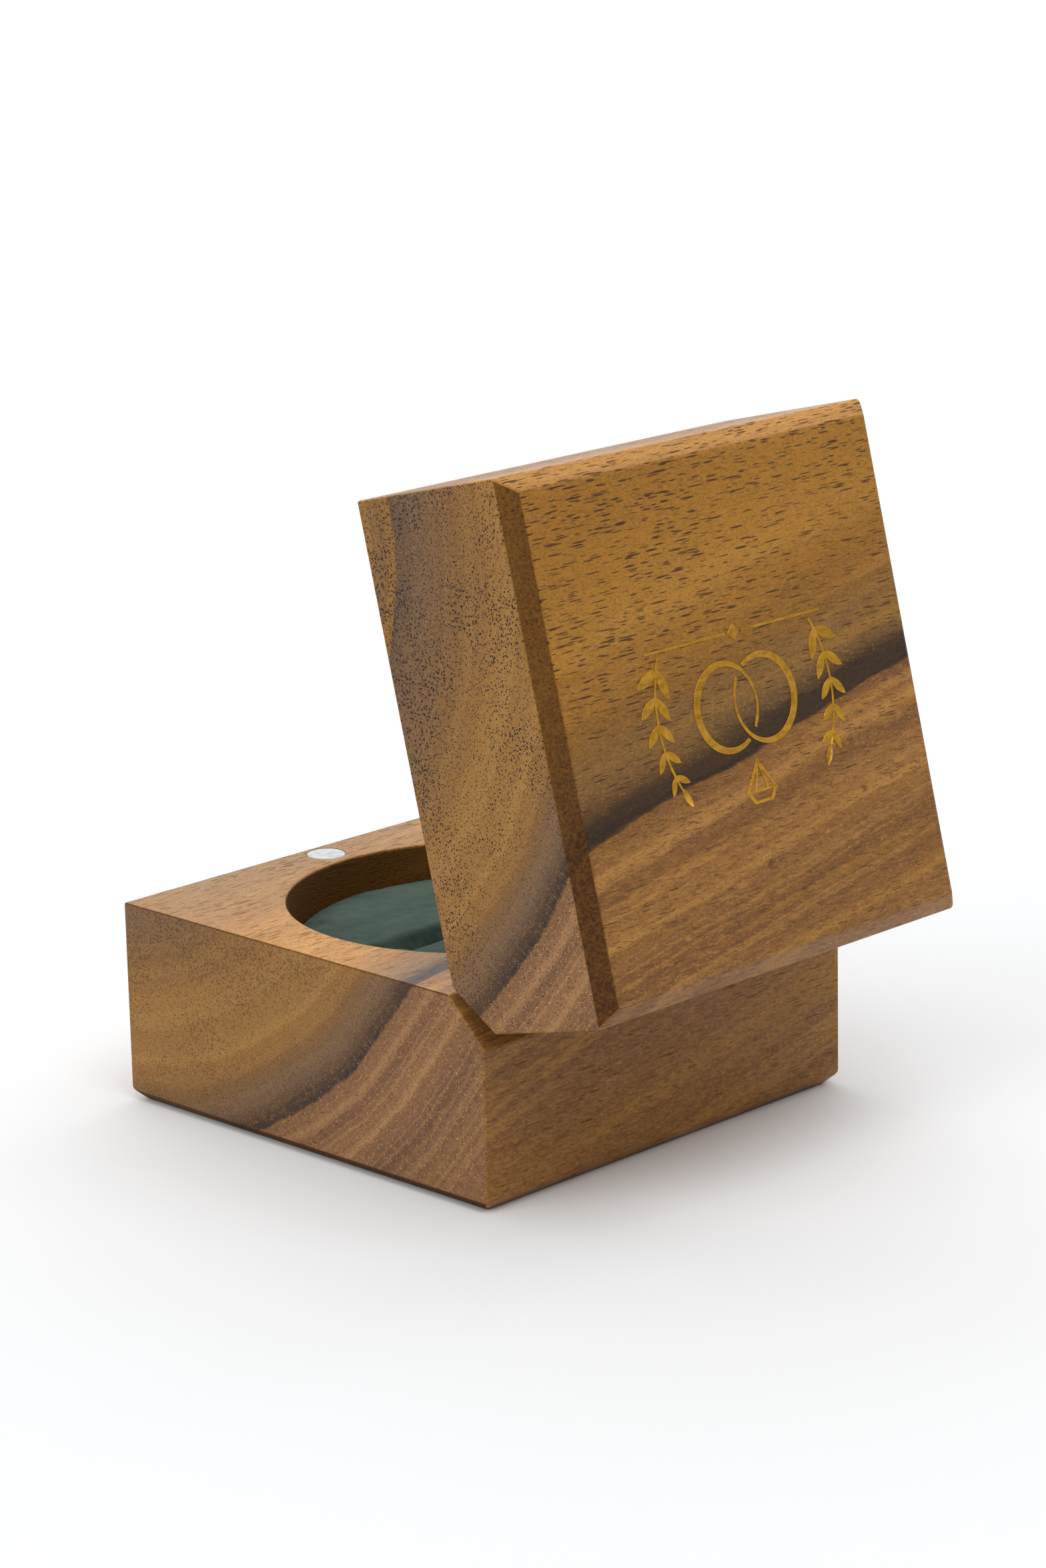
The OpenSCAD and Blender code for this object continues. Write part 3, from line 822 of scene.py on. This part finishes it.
def cut(piece, cutter):
    modifier = piece.modifiers.new("cut", "BOOLEAN")
    modifier.operation = "DIFFERENCE"
    modifier.solver = "EXACT"
    modifier.object = cutter
    apply_modifiers(piece)
    discard(cutter)


def cushion_held(x, y, z):
    """Glued to the board below, and drawn down along the slit."""
    return z < BOARD_TOP + 0.8 or (abs(y) < 0.7 and abs(x) < SLIT_LONG / 2 and z > CUSHION_TOP - 5)


cushion = turned("ring_cushion", pad_profile(
    CUSHION_R - 0.40, BOARD_TOP + 0.05, CUSHION_TOP + 0.40, crown=0.45, roll=0.8))
press_groove(cushion, 1.5)
swell(cushion, 0.6, cushion_held, cap_mm=0.5)
brush(cushion, floor_mm=BOARD_TOP + 3, depth_mm=0.16, size_mm=4.5)
hold_inside(cushion, CUSHION_R - VELVET_GAP, BOARD_TOP + 0.02, CUSHION_TOP + 0.7)
cut(cushion, slit_cutter("slit_cutter", 1.0, 0.3, SLIT_DEEP))
smooth_shade(cushion)
paint(cushion, FINISHES["velvet"])
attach(cushion, "base")
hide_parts("cushion_cover")

# The foam inside it
core = turned("cushion_core", pad_profile(
    CUSHION_R - 1.3, BOARD_TOP + 0.9, CUSHION_TOP - 1.6, crown=0.30, roll=1.0))
press_groove(core, 1.5)
cut(core, slit_cutter("core_slit_cutter", 3.2, 2.4, SLIT_DEEP + 1, margin=1.0))
smooth_shade(core)
paint(core, FINISHES["foam"])
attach(core, "base")
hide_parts("cushion_foam")

# The lid's pad: thin wadding and velvet over its card, built face up at z = 0 and then put in the lid
PAD_THICK = 0.8
pad_spots = [TO_LID @ Vector(corner) for corner in NODES["lid_pad_card"].bound_box]
CARD_FACE = min(spot.z for spot in pad_spots) / MM      # the card's open face, above the lid's mating face
pad = turned("lid_pad", pad_profile(CUSHION_R - 0.4, 0.02, PAD_THICK - 0.12, crown=0.12, roll=0.5))
swell(pad, 0.55, lambda x, y, z: z < 0.3, cap_mm=0.12)
brush(pad, floor_mm=0.3, depth_mm=0.10, size_mm=5.0)
hold_inside(pad, CUSHION_R - VELVET_GAP, 0.01, PAD_THICK)
pad.data.transform(
    FROM_LID @ Matrix.Translation((0, 0, CARD_FACE * MM)) @ Matrix.Rotation(math.pi, 4, "X"))
smooth_shade(pad)
paint(pad, FINISHES["velvet"])
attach(pad, "lid")
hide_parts("lid_pad_velvet")

# ---------------------------------------------------------------- floor and light

FLOOR_HALF = 6.0


def add_floor():
    mesh = bpy.data.meshes.new("floor")
    corners = [(x * FLOOR_HALF, y * FLOOR_HALF, 0) for x, y in ((-1, -1), (1, -1), (1, 1), (-1, 1))]
    mesh.from_pydata(corners, [], [(0, 1, 2, 3)])
    floor = bpy.data.objects.new("floor", mesh)
    bpy.context.scene.collection.objects.link(floor)
    shader = Shader("floor_white")
    paper = shader.noise(shader.object_mm(), scale=0.004, detail=2.0)
    colour = shader.mix(paper, (0.834, 0.844, 0.854), (0.846, 0.856, 0.866))
    paint(floor, shader.set(Base_Color=colour, Roughness=0.9, Specular_IOR_Level=0.1))


def add_world():
    """A soft tent of light that is dim on the side the photographer stood and bright behind."""
    world = bpy.data.worlds.new("tent")
    bpy.context.scene.world = world
    world.use_nodes = True
    tree = world.node_tree
    tree.nodes.clear()
    out = tree.nodes.new("ShaderNodeOutputWorld")
    light = tree.nodes.new("ShaderNodeBackground")
    where = tree.nodes.new("ShaderNodeTexCoord")
    toward = tree.nodes.new("ShaderNodeVectorMath")
    toward.operation = "DOT_PRODUCT"
    toward.inputs[1].default_value = (math.cos(CAMERA_AZIMUTH), math.sin(CAMERA_AZIMUTH), -0.25)
    ramp = tree.nodes.new("ShaderNodeValToRGB")
    shift = tree.nodes.new("ShaderNodeMath")
    shift.operation = "MULTIPLY_ADD"
    shift.inputs[1].default_value = 0.5
    shift.inputs[2].default_value = 0.5
    levels = [(0.0, 1.67), (0.35, 0.27), (0.62, 0.17), (0.85, 0.09), (1.0, 0.08)]
    fill_ramp(ramp.color_ramp, [(place, (level, level, level)) for place, level in levels])
    link = tree.links.new
    link(where.outputs["Generated"], toward.inputs[0])
    link(toward.outputs["Value"], shift.inputs[0])
    link(shift.outputs[0], ramp.inputs["Fac"])
    link(ramp.outputs["Color"], light.inputs["Color"])
    link(light.outputs[0], out.inputs["Surface"])


def add_sun(name, azimuth, elevation, strength, spread):
    """A broad, soft light from that direction, the same over the whole floor."""
    lamp = bpy.data.lights.new(name, "SUN")
    lamp.energy = strength
    lamp.angle = math.radians(spread)
    sun = bpy.data.objects.new(name, lamp)
    bpy.context.scene.collection.objects.link(sun)
    a, e = math.radians(azimuth), math.radians(elevation)
    from_way = Vector((math.cos(e) * math.cos(a), math.cos(e) * math.sin(a), math.sin(e)))
    sun.rotation_euler = from_way.to_track_quat("Z", "Y").to_euler()


add_floor()
add_world()
add_sun("window_rear", 90, 60, 1.01, 50)
add_sun("window_side", -5, 30, 1.10, 50)
add_sun("overhead_softbox", 45, 62, 0.70, 50)
add_sun("far_side_fill", 170, 40, 0.23, 50)

scene = bpy.context.scene
scene.view_settings.view_transform = "Standard"
scene.cycles.use_denoising = True
